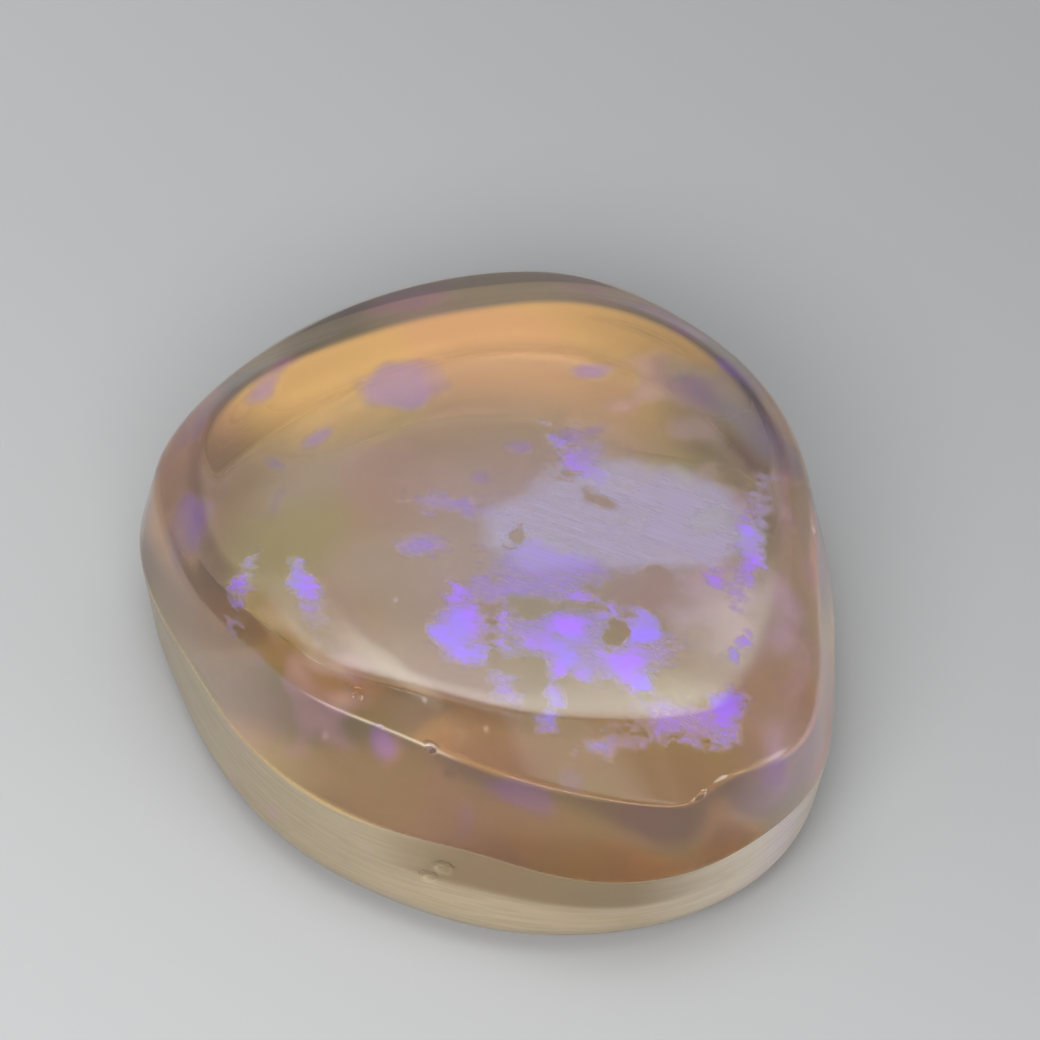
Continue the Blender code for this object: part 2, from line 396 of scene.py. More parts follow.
# Softboxes: name, elevation and azimuth in degrees, width and depth in metres, brightness, and whether
# the polish mirrors them
SOFTBOXES = (
    ("softbox_key", 45.0, 190.0, 0.26, 0.13, 10.5, False),
    ("softbox_left", 10.0, 240.0, 0.10, 0.05, 5.0, True),
    ("softbox_right", 12.0, 125.0, 0.14, 0.10, 6.5, True),
    ("softbox_front", 3.0, 178.0, 0.42, 0.022, 8.0, True),
)
SOFTBOX_DISTANCE = 0.30
SOFTBOX_AIM = (0.0, 0.0, 2.0)
LAMP_COLOUR = (1.0, 0.99, 0.97)

# The camera looks at this place, in millimetres, from this steepness and distance
CAMERA_AIM = (0.50, 1.282, 2.30)
CAMERA_ELEVATION = math.radians(52.0)
CAMERA_DISTANCE = 0.300
PIXELS_PER_METRE = 66000.0
FRAME_PIXELS = 1040.0
SENSOR_WIDTH = 36.0

# The nearest and the farthest that the camera sees, in metres
CAMERA_NEAREST = 0.01
CAMERA_FARTHEST = 10.0


class OpalSizes(bpy.types.PropertyGroup):
    """Heights and fineness of the stone."""

    heel_height: FloatProperty(
        name="Heel height",
        description="Height at which the side wall turns in to the base",
        default=0.42 * MM,
        unit="LENGTH",
    )
    belly_height: FloatProperty(
        name="Belly height",
        description="Height of the widest line round the stone",
        default=1.98 * MM,
        unit="LENGTH",
    )
    ridge_height: FloatProperty(
        name="Ridge height",
        description="Height of the ridge between the side wall and the shoulder",
        default=3.50 * MM,
        unit="LENGTH",
    )
    rim_height: FloatProperty(
        name="Rim height",
        description="Height of the rim of the domed face",
        default=4.27 * MM,
        unit="LENGTH",
    )
    dome_rise: FloatProperty(
        name="Dome rise",
        description="How far the middle of the face stands above its rim",
        default=0.30 * MM,
        unit="LENGTH",
    )
    columns: IntProperty(
        name="Columns",
        description="Number of points in each ring of the skin",
        default=440,
        min=60,
        max=600,
    )


def colour_property(name, description, default):
    return FloatVectorProperty(
        name=name, description=description, default=default, subtype="COLOR", min=0.0, max=1.0
    )


class OpalColours(bpy.types.PropertyGroup):
    """Colours of the opal and of the stage."""

    honey: colour_property("Honey", "Colour that thick opal lets through", (0.915, 0.75, 0.48))
    face: colour_property("Face", "Tint of the domed face", (0.99, 0.97, 0.90))
    shoulder: colour_property("Shoulder", "Tint of the shoulder at the front", (0.90, 0.655, 0.41))
    # Painted shade: the dark tint of the back shoulder and of the left end of the face
    painted_shade_tint: colour_property("Smoke", "Tint of the shoulder at the back", (0.13, 0.20, 0.50))
    wall: colour_property("Wall", "Tint of the side wall at the front", (0.41, 0.315, 0.255))
    olive_wall: colour_property("Olive wall", "Lower right part of the side wall", (0.41, 0.345, 0.20))
    pale_wall: colour_property("Pale wall", "Tint of the side wall at the left", (0.77, 0.70, 0.56))
    rose_wall: colour_property("Rose wall", "Tint of the side wall at the right", (0.80, 0.70, 0.80))
    ground: colour_property("Ground", "Satin surface below the belly line", (0.345, 0.297, 0.208))
    ground_shade: colour_property("Ground shade", "Upper band of the satin surface", (0.195, 0.15, 0.088))
    ground_pale: colour_property("Ground pale", "Right end of the satin surface", (0.49, 0.445, 0.37))
    amber: colour_property("Amber", "Golden seam, and the front left shoulder", (0.70, 0.44, 0.09))
    # Painted glow: a bright colour standing in for light in the back of the body
    painted_glow: colour_property("Glow", "Amber glow in the back of the body", (1.0, 0.86, 0.55))
    # Painted shade: the dark colour of the right back of the body
    painted_dark_shade: colour_property("Dusk", "Dark haze in the right back of the body", (0.085, 0.065, 0.19))
    violet: colour_property("Violet", "Main flash of the play of colour", (0.225, 0.095, 0.59))
    blue: colour_property("Blue", "Cooler flash of the play of colour", (0.18, 0.11, 0.59))
    orchid: colour_property("Orchid", "Mist round the flashes", (0.185, 0.09, 0.515))
    # Painted reflection: the lavender haze on the face
    painted_reflection_lavender: colour_property("Lavender", "Soft veil of the play of colour", (0.29, 0.285, 0.52))
    pink: colour_property("Pink", "Warm veil of the play of colour", (0.48, 0.24, 0.38))
    milk: colour_property("Milk", "Thin haze over the middle of the face", (0.42, 0.38, 0.62))
    # Cream: painted highlights along the ridge and the front rim, painted reflections on the rim, and the
    # pale colour of the chip in the nick
    nick_and_painted_highlight: colour_property("Cream", "Pale band along the front rim of the face", (0.80, 0.72, 0.60))
    pale: colour_property("Pale", "Pin-point spots", (0.60, 0.54, 0.42))
    rust: colour_property("Rust", "Reddish stain along the right ridge", (0.62, 0.26, 0.16))
    floor_far: colour_property("Floor far", "Paper behind the stone", (0.190, 0.192, 0.197))
    # Painted light: the paler paper at the front left
    floor_painted_light: colour_property("Floor near", "Paper at the front left", (0.317, 0.320, 0.324))


def closed_curve(stations):
    """A smooth closed curve through the stations, as a function from bearing to radius."""
    bearings = np.array([bearing for bearing, _ in stations], float)
    radii = np.array([radius for _, radius in stations], float)
    count = len(bearings)
    gaps = np.diff(np.append(bearings, bearings[0] + 360.0))
    slopes = np.diff(np.append(radii, radii[0])) / gaps
    matrix = np.zeros((count, count))
    for i in range(count):
        matrix[i, i - 1] = gaps[i - 1]
        matrix[i, i] = 2.0 * (gaps[i - 1] + gaps[i])
        matrix[i, (i + 1) % count] = gaps[i]
    bends = np.linalg.solve(matrix, 6.0 * (slopes - np.roll(slopes, 1)))

    def radius_at(bearing):
        turned = (bearing - bearings[0]) % 360.0 + bearings[0]
        i = int(np.searchsorted(bearings, turned, side="right")) - 1
        after = (i + 1) % count
        step = turned - bearings[i]
        rest = gaps[i] - step
        cubic = (bends[i] * rest ** 3 + bends[after] * step ** 3) / (6.0 * gaps[i])
        near = (radii[i] / gaps[i] - bends[i] * gaps[i] / 6.0) * rest
        far = (radii[after] / gaps[i] - bends[after] * gaps[i] / 6.0) * step
        return float(cubic + near + far)

    return radius_at


def smooth_step(value):
    held = min(max(value, 0.0), 1.0)
    return held * held * (3.0 - 2.0 * held)


def front_share(bearing):
    """1 along the crisp front edges, 0 round the soft back, with a smooth change between."""
    turned = bearing % 360.0
    rising = smooth_step((turned - FRONT_FROM) / FRONT_BLEND + 0.5)
    falling = smooth_step((FRONT_TO - turned) / FRONT_BLEND + 0.5)
    return rising * falling


def part_way(turn, other, reach):
    """The point this far from a turn towards another, never past half the way."""
    way = Vector(other) - Vector(turn)
    return Vector(turn) + way.normalized() * min(reach, LONGEST_REACH * way.length)


def rounded_turn(start, turn, end):
    """Points of a rounded turn: a parabola from the start on one side to the end on the other."""
    points = []
    for i in range(ROUND_STEPS + 1):
        share = i / ROUND_STEPS
        points.append((1 - share) ** 2 * start + 2 * share * (1 - share) * Vector(turn) + share ** 2 * end)
    return points


def side_between(start, end, steps):
    """Points strictly between two turns of the profile, closer together near the turns."""
    points = []
    for i in range(1, steps):
        share = smooth_step(i / steps)
        points.append(start.lerp(end, share))
    return points


def profile(bearing, curves, sizes):
    """The profile at a bearing, as radius and height in millimetres, from the foot to the crown."""
    heel = (curves["heel"](bearing), sizes.heel_height / MM)
    base = (heel[0] - BASE_INSET, 0.0)
    belly = (curves["belly"](bearing), sizes.belly_height / MM)
    ridge = (curves["ridge"](bearing), sizes.ridge_height / MM)
    rim = (curves["rim"](bearing), sizes.rim_height / MM)
    rise = sizes.dome_rise / MM
    front = front_share(bearing)
    ridge_round = RIDGE_ROUND_BACK + (RIDGE_ROUND_FRONT - RIDGE_ROUND_BACK) * front
    rim_round = RIM_ROUND_BACK + (RIM_ROUND_FRONT - RIM_ROUND_BACK) * front

    def on_dome(share):
        return Vector((rim[0] * (1.0 - share), rim[1] + rise * (1.0 - (1.0 - share) ** 2)))

    corners = ((0.0, 0.0), base, heel, belly, ridge, rim)
    turns = []
    for i, reach in enumerate((BASE_ROUND, HEEL_ROUND, BELLY_ROUND, ridge_round), start=1):
        start = part_way(corners[i], corners[i - 1], reach)
        end = part_way(corners[i], corners[i + 1], reach)
        turns.append(rounded_turn(start, corners[i], end))
    eased = on_dome(curves["ease"](bearing) / rim[0])
    turns.append(rounded_turn(part_way(rim, ridge, rim_round), rim, eased))
    points = []
    foot_end = turns[0][0]
    for i in range(1, FOOT_STEPS):
        share = 1.0 - (1.0 - i / FOOT_STEPS) ** 2
        points.append(Vector((foot_end[0] * share, 0.0)))
    for i in range(len(turns)):
        points += turns[i]
        if i + 1 < len(turns):
            points += side_between(turns[i][-1], turns[i + 1][0], SIDE_STEPS[i])
    dome_start = 1.0 - turns[-1][-1][0] / rim[0]
    for i in range(1, DOME_STEPS):
        points.append(on_dome(dome_start + (1.0 - dome_start) * i / DOME_STEPS))
    return points


def column_bearings(count):
    """Bearings of the columns, closer together along the crisp front."""
    samples = np.arange(0.0, 360.0, 0.25)
    weights = np.array([1.0 + (FRONT_DENSITY - 1.0) * front_share(bearing) for bearing in samples])
    reached = np.concatenate(([0.0], np.cumsum(weights)))
    wanted = np.arange(count) * reached[-1] / count
    return np.interp(wanted, reached, np.append(samples, 360.0))


def place(bearing, radius, height):
    turn = math.radians(bearing)
    x = POLE[0] + radius * math.cos(turn)
    y = POLE[1] + radius * math.sin(turn)
    return Vector((x, y, height)) * MM


def deselect_all():
    if bpy.context.object and bpy.context.object.mode != "OBJECT":
        bpy.ops.object.mode_set(mode="OBJECT")
    bpy.ops.object.select_all(action="DESELECT")


def loft_stone(sizes):
    """Extrudes a disc ring by ring along the profile, so the skin closes at the foot and at the crown."""
    curves = {
        "heel": closed_curve(HEEL),
        "belly": closed_curve(BELLY),
        "ridge": closed_curve(RIDGE),
        "rim": closed_curve(RIM),
        "ease": closed_curve(RIM_EASE),
    }
    bearings = column_bearings(sizes.columns)
    profiles = [profile(bearing, curves, sizes) for bearing in bearings]
    deselect_all()
    bpy.ops.mesh.primitive_circle_add(vertices=sizes.columns, radius=MM, fill_type="NGON")
    stone = bpy.context.object
    stone.name = "opal_polished"
    stone.data.name = "opal_polished"
    bpy.ops.object.mode_set(mode="EDIT")
    bpy.ops.mesh.select_mode(type="FACE")
    bpy.ops.mesh.select_all(action="SELECT")
    for level in range(len(profiles[0])):
        if level > 0:
            bpy.ops.mesh.extrude_region_move(TRANSFORM_OT_translate={"value": (0.0, 0.0, MM)})
        skin = bmesh.from_edit_mesh(stone.data)
        top = next(face for face in skin.faces if face.select)
        for loop, bearing, points in zip(top.loops, bearings, profiles):
            loop.vert.co = place(bearing, points[level][0], points[level][1])
        bmesh.update_edit_mesh(stone.data)
    bpy.ops.mesh.select_all(action="SELECT")
    bpy.ops.mesh.normals_make_consistent(inside=False)
    bpy.ops.object.mode_set(mode="OBJECT")
    return stone


def point_places(mesh):
    """The place of each point of the skin, in metres, one row to a point."""
    places = np.zeros(len(mesh.vertices) * 3)
    mesh.vertices.foreach_get("co", places)
    return places.reshape(-1, 3)


def wear_stone(stone):
    """Slow polishing waves over the skin, then the dents of its small damage."""
    mesh = stone.data
    places = point_places(mesh)
    count = len(places)
    normals = np.zeros(count * 3)
    mesh.vertex_normals.foreach_get("vector", normals)
    normals = normals.reshape(-1, 3)
    for i in range(count):
        point = Vector(places[i]) / (WAVE_LENGTH * MM)
        lifted = smooth_step((places[i][2] / MM - WAVE_START) / WAVE_GROWTH)
        places[i] -= normals[i] * (0.5 + 0.5 * noise.noise(point)) * WAVE_HEIGHT * MM * lifted
    for _, bearing, radius, height, half_width, half_height, depth in DENTS:
        middle = np.array(place(bearing, radius, height))
        turn = math.radians(bearing)
        along = np.array((-math.sin(turn), math.cos(turn), 0.0))
        offset = places - middle
        sideways = offset @ along / (half_width * MM)
        rest = offset - np.outer(offset @ along, along)
        upward = np.linalg.norm(rest, axis=1) / (half_height * MM)
        away = sideways ** 2 + upward ** 2
        bite = np.sqrt(np.clip(1.0 - away, 0.0, 1.0)) * depth * MM
        places -= normals * bite[:, None]
    mesh.vertices.foreach_set("co", places.reshape(-1))
    mesh.update()


def gradual(values, start, end):
    """0 before start and 1 past end, with a smooth change between, for a whole array."""
    share = np.clip((values - start) / (end - start), 0.0, 1.0)
    return share * share * (3.0 - 2.0 * share)


def reach_of(places, shapes, depth=PATCH_DEPTH):
    """How far each place is from the edge of the nearest patch, in millimetres, negative inside it."""
    nearest = np.full(len(places), FAR_AWAY)
    for _, x, y, z, along, across, turn in shapes:
        angle = math.radians(turn)
        east = places[:, 0] - x
        north = places[:, 1] - y
        first = (east * math.cos(angle) + north * math.sin(angle)) / along
        second = (north * math.cos(angle) - east * math.sin(angle)) / across
        third = (places[:, 2] - z) / depth
        away = (np.sqrt(first ** 2 + second ** 2 + third ** 2) - 1.0) * min(along, across)
        nearest = np.minimum(nearest, away)
    return nearest


def coated(skin, colour, finish, share):
    """The skin's tint, clearness and frost, changed to a new colour and finish by a share at each point."""
    return skin + (np.array((*colour, *finish)) - skin) * share[:, None]


def veiled(skin, colour, share):
    """Hides a share of the clear skin behind a veil, and turns the tint quickly to the veil's colour."""
    turned = (1.0 + VEIL_HALF) * share / (share + VEIL_HALF)
    skin[:, :3] += (np.array(colour) - skin[:, :3]) * turned[:, None]
    skin[:, 3] *= 1.0 - share


def inside(places, shapes, soft, depth=PATCH_DEPTH, wander=0.0):
    """1 well inside the patches and 0 well outside, with an edge this soft and moved by wander."""
    return gradual(-reach_of(places, shapes, depth) - wander, -soft, soft)


def clouds(places, length, seed):
    """Slow noise round zero, with waves of a length in millimetres; the seed shifts where it is read."""
    return np.array([noise.noise(Vector(place) / length + Vector((seed, seed, seed))) for place in places])


def keep_values(mesh, name, values):
    attribute = mesh.attributes.new(name=name, type="FLOAT", domain="POINT")
    attribute.data.foreach_set("value", np.ascontiguousarray(values, np.float32))


def keep_colours(mesh, name, colours):
    attribute = mesh.attributes.new(name=name, type="FLOAT_VECTOR", domain="POINT")
    attribute.data.foreach_set("vector", np.ascontiguousarray(colours.reshape(-1), np.float32))


def skin_zones(places):
    """How far each point belongs to the back, to the left end and to the right end, from 0 to 1."""
    x, y, _ = places.T
    back = gradual(y + 0.25 * np.abs(x), 0.8, 2.8)
    left = gradual(-x, 2.0, 4.2) * (1.0 - back)
    right = gradual(x, 3.2, 4.6) * gradual(y, -5.4, -3.2) * (1.0 - back)
    return back, left, right


def ground_finish(places, colours):
    """The clear foot and the satin surface round it, with a painted glow and painted shade in the hidden
    back.
    """
    x, y, z = places.T
    skin = np.tile(np.array((1.0, 1.0, 1.0, *FOOT_FINISH)), (len(places), 1))
    skin = coated(skin, colours.ground, GROUND_FINISH, gradual(z, *FOOT_TO_GROUND))
    shaded = gradual(z, *GROUND_TO_SHADE) * gradual(x - y, 2.2, 4.5)
    skin = coated(skin, colours.ground_shade, SHADE_FINISH, shaded)
    paler = gradual(z, *GROUND_GROWS_PALE) * gradual(x - 0.3 * y, 3.6, 5.6)
    skin = coated(skin, colours.ground_pale, PALE_GROUND_FINISH, paler)
    # Painted glow: a bright amber patch in the hidden back stands in for light carried there through the
    # body, dimmed towards the sides
    painted_glow_share = gradual(np.hypot(x, y), 3.1, 4.5) * gradual(y - 0.46 * np.abs(x), 1.0, 2.5)
    painted_glow_share *= (1.0 - gradual(z, *PAINTED_GLOW_TO_GROUND)) * (0.72 + 0.28 * gradual(z, *PAINTED_GLOW_GROWS))
    skin = coated(skin, colours.painted_glow, PAINTED_GLOW_FINISH, painted_glow_share)
    dimmer = 0.36 * gradual(x, 0.4, 2.8) + 0.10 * gradual(-x, 1.4, 3.4)
    skin[:, :3] *= 1.0 - (dimmer * painted_glow_share)[:, None]
    # Painted shade in the right back
    skin = coated(skin, colours.painted_dark_shade, PAINTED_SHADE_FINISH, 0.55 * inside(places, PAINTED_SHADE_PATCHES, 0.35))
    pitted = inside(places, PIT_SHADES, 0.03, PIT_DEPTH)
    return coated(skin, colours.ground_shade, PIT_FINISH, 0.7 * pitted)


def wall_finish(skin, places, colours, left, right):
    """The polished side wall, paler at its ends, and the golden seam under its left half."""
    x, y, z = places.T
    polished = gradual(z, *SHADE_TO_WALL)
    skin = coated(skin, colours.wall, WALL_FINISH, polished)
    olive = (1.0 - gradual(z, *OLIVE_TO_WALL)) * gradual(x, -0.5, 1.5)
    skin = coated(skin, colours.olive_wall, WALL_FINISH, polished * olive)
    skin = coated(skin, colours.pale_wall, LEFT_WALL_FINISH, polished * left)
    skin = coated(skin, colours.rose_wall, RIGHT_WALL_FINISH, polished * right)
    seam = gradual(z, *SHADE_TO_SEAM) * (1.0 - gradual(z, *SEAM_TO_WALL))
    seam *= gradual(-x, 1.2, 2.4) * gradual(-y, -1.0, 0.5)
    return coated(skin, colours.amber, SEAM_FINISH, 0.35 * seam)


def shoulder_finish(skin, places, colours, back, left, right):
    """The shoulder, orange at the front and darkened by painted shade at the back and at the left, the face,
    and the painted glint along the ridge.
    """
    x, y, z = places.T
    shoulder = gradual(z, *WALL_TO_SHOULDER)
    skin = coated(skin, colours.shoulder, SHOULDER_FINISH, shoulder)
    golden = gradual(-x, 0.9, 2.2) * (1.0 - gradual(-x, 3.1, 3.8)) * (1.0 - back)
    skin = coated(skin, colours.amber, SHOULDER_FINISH, 0.8 * shoulder * golden)
    skin = coated(skin, colours.pale_wall, POLISH, shoulder * left * gradual(-x, 3.2, 4.2))
    # Painted shade along the left rim
    left_shade = gradual(z, *SHOULDER_TO_LEFT_SHADE) * gradual(-x, 3.4, 4.0) * (1.0 - back)
    skin = coated(skin, colours.painted_shade_tint, POLISH, 0.5 * left_shade)
    skin = coated(skin, colours.rose_wall, RIGHT_SHOULDER_FINISH, 0.6 * shoulder * right)
    # Painted shade: the back shoulder tinted dark
    painted_back_shade = back * (1.0 - 0.6 * gradual(np.abs(x), 3.8, 4.6))
    skin = coated(skin, colours.painted_shade_tint, POLISH, shoulder * painted_back_shade)
    # More painted shade on the back left shoulder
    painted_back_darkening = shoulder * back * gradual(-x, 1.0, 2.2) * (1.0 - gradual(-x, 2.8, 3.5))
    skin[:, :3] *= 1.0 - 0.6 * painted_back_darkening[:, None]
    under_rim = gradual(z, *SHOULDER_TO_UNDER_RIM) * (1.0 - gradual(z, *UNDER_RIM_TO_RIM))
    under_rim *= gradual(-y, 1.5, 2.5) * gradual(x, -2.8, -1.6) * gradual(-x, -1.8, -0.6)
    skin = coated(skin, colours.ground_shade, SHOULDER_FINISH, 0.40 * under_rim)
    corner = shoulder * gradual(x, 3.7, 4.1) * gradual(-y, 2.4, 3.2)
    skin = coated(skin, colours.shoulder, CORNER_FINISH, corner)
    skin = coated(skin, colours.face, POLISH, gradual(z, *SHOULDER_TO_FACE))
    # Painted highlight: a cream line along the front ridge
    painted_glint = gradual(z, *WALL_TO_GLINT) * (1.0 - gradual(z, *GLINT_TO_SHOULDER))
    painted_glint *= gradual(x, -2.9, -2.4) * gradual(-x, 0.2, 0.9) * gradual(-y, 1.0, 2.0)
    return coated(skin, colours.nick_and_painted_highlight, PAINTED_GLINT_FINISH, 0.8 * painted_glint)


def lay_veils(skin, places, colours, back):
    """Slow drift of the body's cast, then the thin veils of colour, with painted shade at the right back,
    and the painted highlights along the front rim over it.
    """
    x, y, z = places.T
    warmth = gradual(clouds(places, *CAST_CLOUDS), -0.20, 0.20)[:, None]
    cast = np.array(OLIVE_CAST) + (np.array(ROSE_CAST) - np.array(OLIVE_CAST)) * warmth
    skin[:, :3] *= 1.0 + (cast - 1.0) * gradual(skin[:, 3], 0.40, 0.90)[:, None]
    ragged = clouds(places, *EDGE_CLOUDS)
    slow = clouds(places, *VEIL_CLOUDS)
    veiled(skin, colours.pink, 0.13 * inside(places, PINK_VEILS, 0.30, PATCH_DEPTH, 0.7 * ragged))
    veiled(skin, colours.milk, 0.08 * inside(places, MILKY_VEILS, 0.90, PATCH_DEPTH, 0.9 * slow))
    # Painted shade over the right back of the face
    veiled(skin, colours.painted_dark_shade, 0.24 * inside(places, PAINTED_SHADE_VEILS, 0.25, PATCH_DEPTH, 0.5 * slow))
    faint = inside(places, FAINT_VIOLETS, 0.10, PATCH_DEPTH, 0.2 * ragged)
    faint *= 1.0 - 0.5 * back * (1.0 - gradual(z, 4.0, 4.2))
    veiled(skin, colours.violet, faint * (0.06 + 0.12 * gradual(z, 3.6, 4.3)))
    veiled(skin, colours.violet, 0.07 * inside(places, WALL_VIOLETS, 0.10, WALL_DEPTH, 0.2 * ragged))
    # Painted reflections along the front left rim
    veiled(skin, colours.nick_and_painted_highlight, 0.09 * inside(places, PAINTED_RIM_REFLECTIONS, 0.10, PATCH_DEPTH, 0.1 * ragged))
    # Painted highlight: a pale band along the front rim of the face
    painted_rim_highlight = gradual(z, *SHOULDER_TO_FACE) * (1.0 - gradual(z, *RIM_HIGHLIGHT_TO_FACE)) * gradual(-y, 0.6, 2.4)
    veiled(skin, colours.nick_and_painted_highlight, painted_rim_highlight * (0.05 + 0.03 * gradual(x, 0.5, 3.0)))


def small_marks(skin, places, colours):
    """The rust stains, the pin-point spots and the bright nick."""
    skin = coated(skin, colours.rust, RUST_FINISH, 0.7 * inside(places, RUST_MARKS, 0.05))
    skin = coated(skin, colours.pale, SPOT_FINISH, 0.22 * inside(places, PALE_SPOTS, 0.02, MARK_DEPTH))
    return coated(skin, colours.nick_and_painted_highlight, NICK_FINISH, inside(places, NICK_SPOTS, 0.03, MARK_DEPTH))


def flash_colours(places, colours):
    """The colour of a flash at each point: it drifts from violet to blue, and is darker under the rim by
    painted shade on the sloping shoulder.
    """
    drift = gradual(clouds(places, *FLASH_CLOUDS), -0.15, 0.25)[:, None]
    flash = np.array(colours.violet) + (np.array(colours.blue) - np.array(colours.violet)) * drift
    # Painted shade on the flashes below the rim
    return flash * (0.7 + 0.3 * gradual(places[:, 2], 4.15, 4.32)[:, None])


def finish_stone(stone, colours):
    """Stores tint, clearness and frost, and the reach of each kind of patch, at every point."""
    mesh = stone.data
    places = point_places(mesh) / MM
    back, left, right = skin_zones(places)
    skin = ground_finish(places, colours)
    skin = wall_finish(skin, places, colours, left, right)
    skin = shoulder_finish(skin, places, colours, back, left, right)
    lay_veils(skin, places, colours, back)
    skin = small_marks(skin, places, colours)

    keep_colours(mesh, "tint", skin[:, :3])
    keep_colours(mesh, "flash", flash_colours(places, colours))
    keep_values(mesh, "clearness", skin[:, 3])
    keep_values(mesh, "frost", skin[:, 4])
    keep_values(mesh, "violet_reach", reach_of(places, VIOLET_FLASHES))
    keep_values(mesh, "mist_reach", reach_of(places, VIOLET_MISTS))
    keep_values(mesh, "reflection_reach", reach_of(places, PAINTED_REFLECTION_VEILS))
    keep_values(mesh, "gap_reach", reach_of(places, CLEAR_GAPS))


def link(tree, source, socket):
    """Joins a socket to another node's output, or sets it to a plain value."""
    if isinstance(source, bpy.types.NodeSocket):
        tree.links.new(source, socket)
    else:
        socket.default_value = source


def maths(tree, operation, first, second):
    """The result of one sum, product or other operation on two sockets or values."""
    node = tree.nodes.new("ShaderNodeMath")
    node.operation = operation
    link(tree, first, node.inputs[0])
    link(tree, second, node.inputs[1])
    return node.outputs["Value"]


def ramp(tree, value, start, end, low=0.0, high=1.0):
    """A smooth change from low at start to high at end."""
    node = tree.nodes.new("ShaderNodeMapRange")
    node.interpolation_type = "SMOOTHSTEP"
    link(tree, value, node.inputs["Value"])
    node.inputs["From Min"].default_value = start
    node.inputs["From Max"].default_value = end
    node.inputs["To Min"].default_value = low
    node.inputs["To Max"].default_value = high
    return node.outputs["Result"]


def mixed(tree, share, first, second):
    """The first colour where share is 0, the second where it is 1."""
    node = tree.nodes.new("ShaderNodeMix")
    node.data_type = "RGBA"
    link(tree, share, node.inputs["Factor"])
    link(tree, first, node.inputs["A"])
    link(tree, second, node.inputs["B"])
    return node.outputs["Result"]


def mapped(tree, places, scale, turn=0.0):
    """Places measured along turned axes, in units of scale."""
    node = tree.nodes.new("ShaderNodeMapping")
    node.vector_type = "TEXTURE"
    link(tree, places, node.inputs["Vector"])
    node.inputs["Rotation"].default_value = (0.0, 0.0, math.radians(turn))
    node.inputs["Scale"].default_value = scale
    return node.outputs["Vector"]


def cloud(tree, places, scale, detail=2.0, roughness=0.5):
    """Noise round one half, with this many waves in a unit of the places."""
    node = tree.nodes.new("ShaderNodeTexNoise")
    link(tree, places, node.inputs["Vector"])
    node.inputs["Scale"].default_value = scale
    node.inputs["Detail"].default_value = detail
    node.inputs["Roughness"].default_value = roughness
    return node.outputs["Fac"]


def stored(tree, name, output="Fac"):
    """What the skin stores at each point under a name."""
    node = tree.nodes.new("ShaderNodeAttribute")
    node.attribute_name = name
    return node.outputs[output]


def swing(tree, value, width):
    """A value round one half, turned into a shift of up to half the width either way."""
    return maths(tree, "MULTIPLY", maths(tree, "SUBTRACT", value, 0.5), width)


def patch_share(tree, name, shift, soft):
    """1 inside the patches of a name and 0 outside, with their edge moved by shift and this soft."""
    reach = maths(tree, "ADD", stored(tree, name), shift)
    return ramp(tree, reach, soft, -soft)


def over(tree, hidden, colour, share, new_colour):
    """Lays a new veil over what is hidden already, and returns the whole hidden share and its colour."""
    bare = maths(tree, "MULTIPLY", maths(tree, "SUBTRACT", 1.0, hidden), maths(tree, "SUBTRACT", 1.0, share))
    whole = maths(tree, "SUBTRACT", 1.0, bare)
    return whole, mixed(tree, maths(tree, "DIVIDE", share, whole), colour, new_colour)


def turned_share(tree, share):
    """How far the tint has turned to a veil's colour where the veil hides this share."""
    wanted = maths(tree, "MULTIPLY", share, 1.0 + FLASH_HALF)
    return maths(tree, "DIVIDE", wanted, maths(tree, "ADD", share, FLASH_HALF))


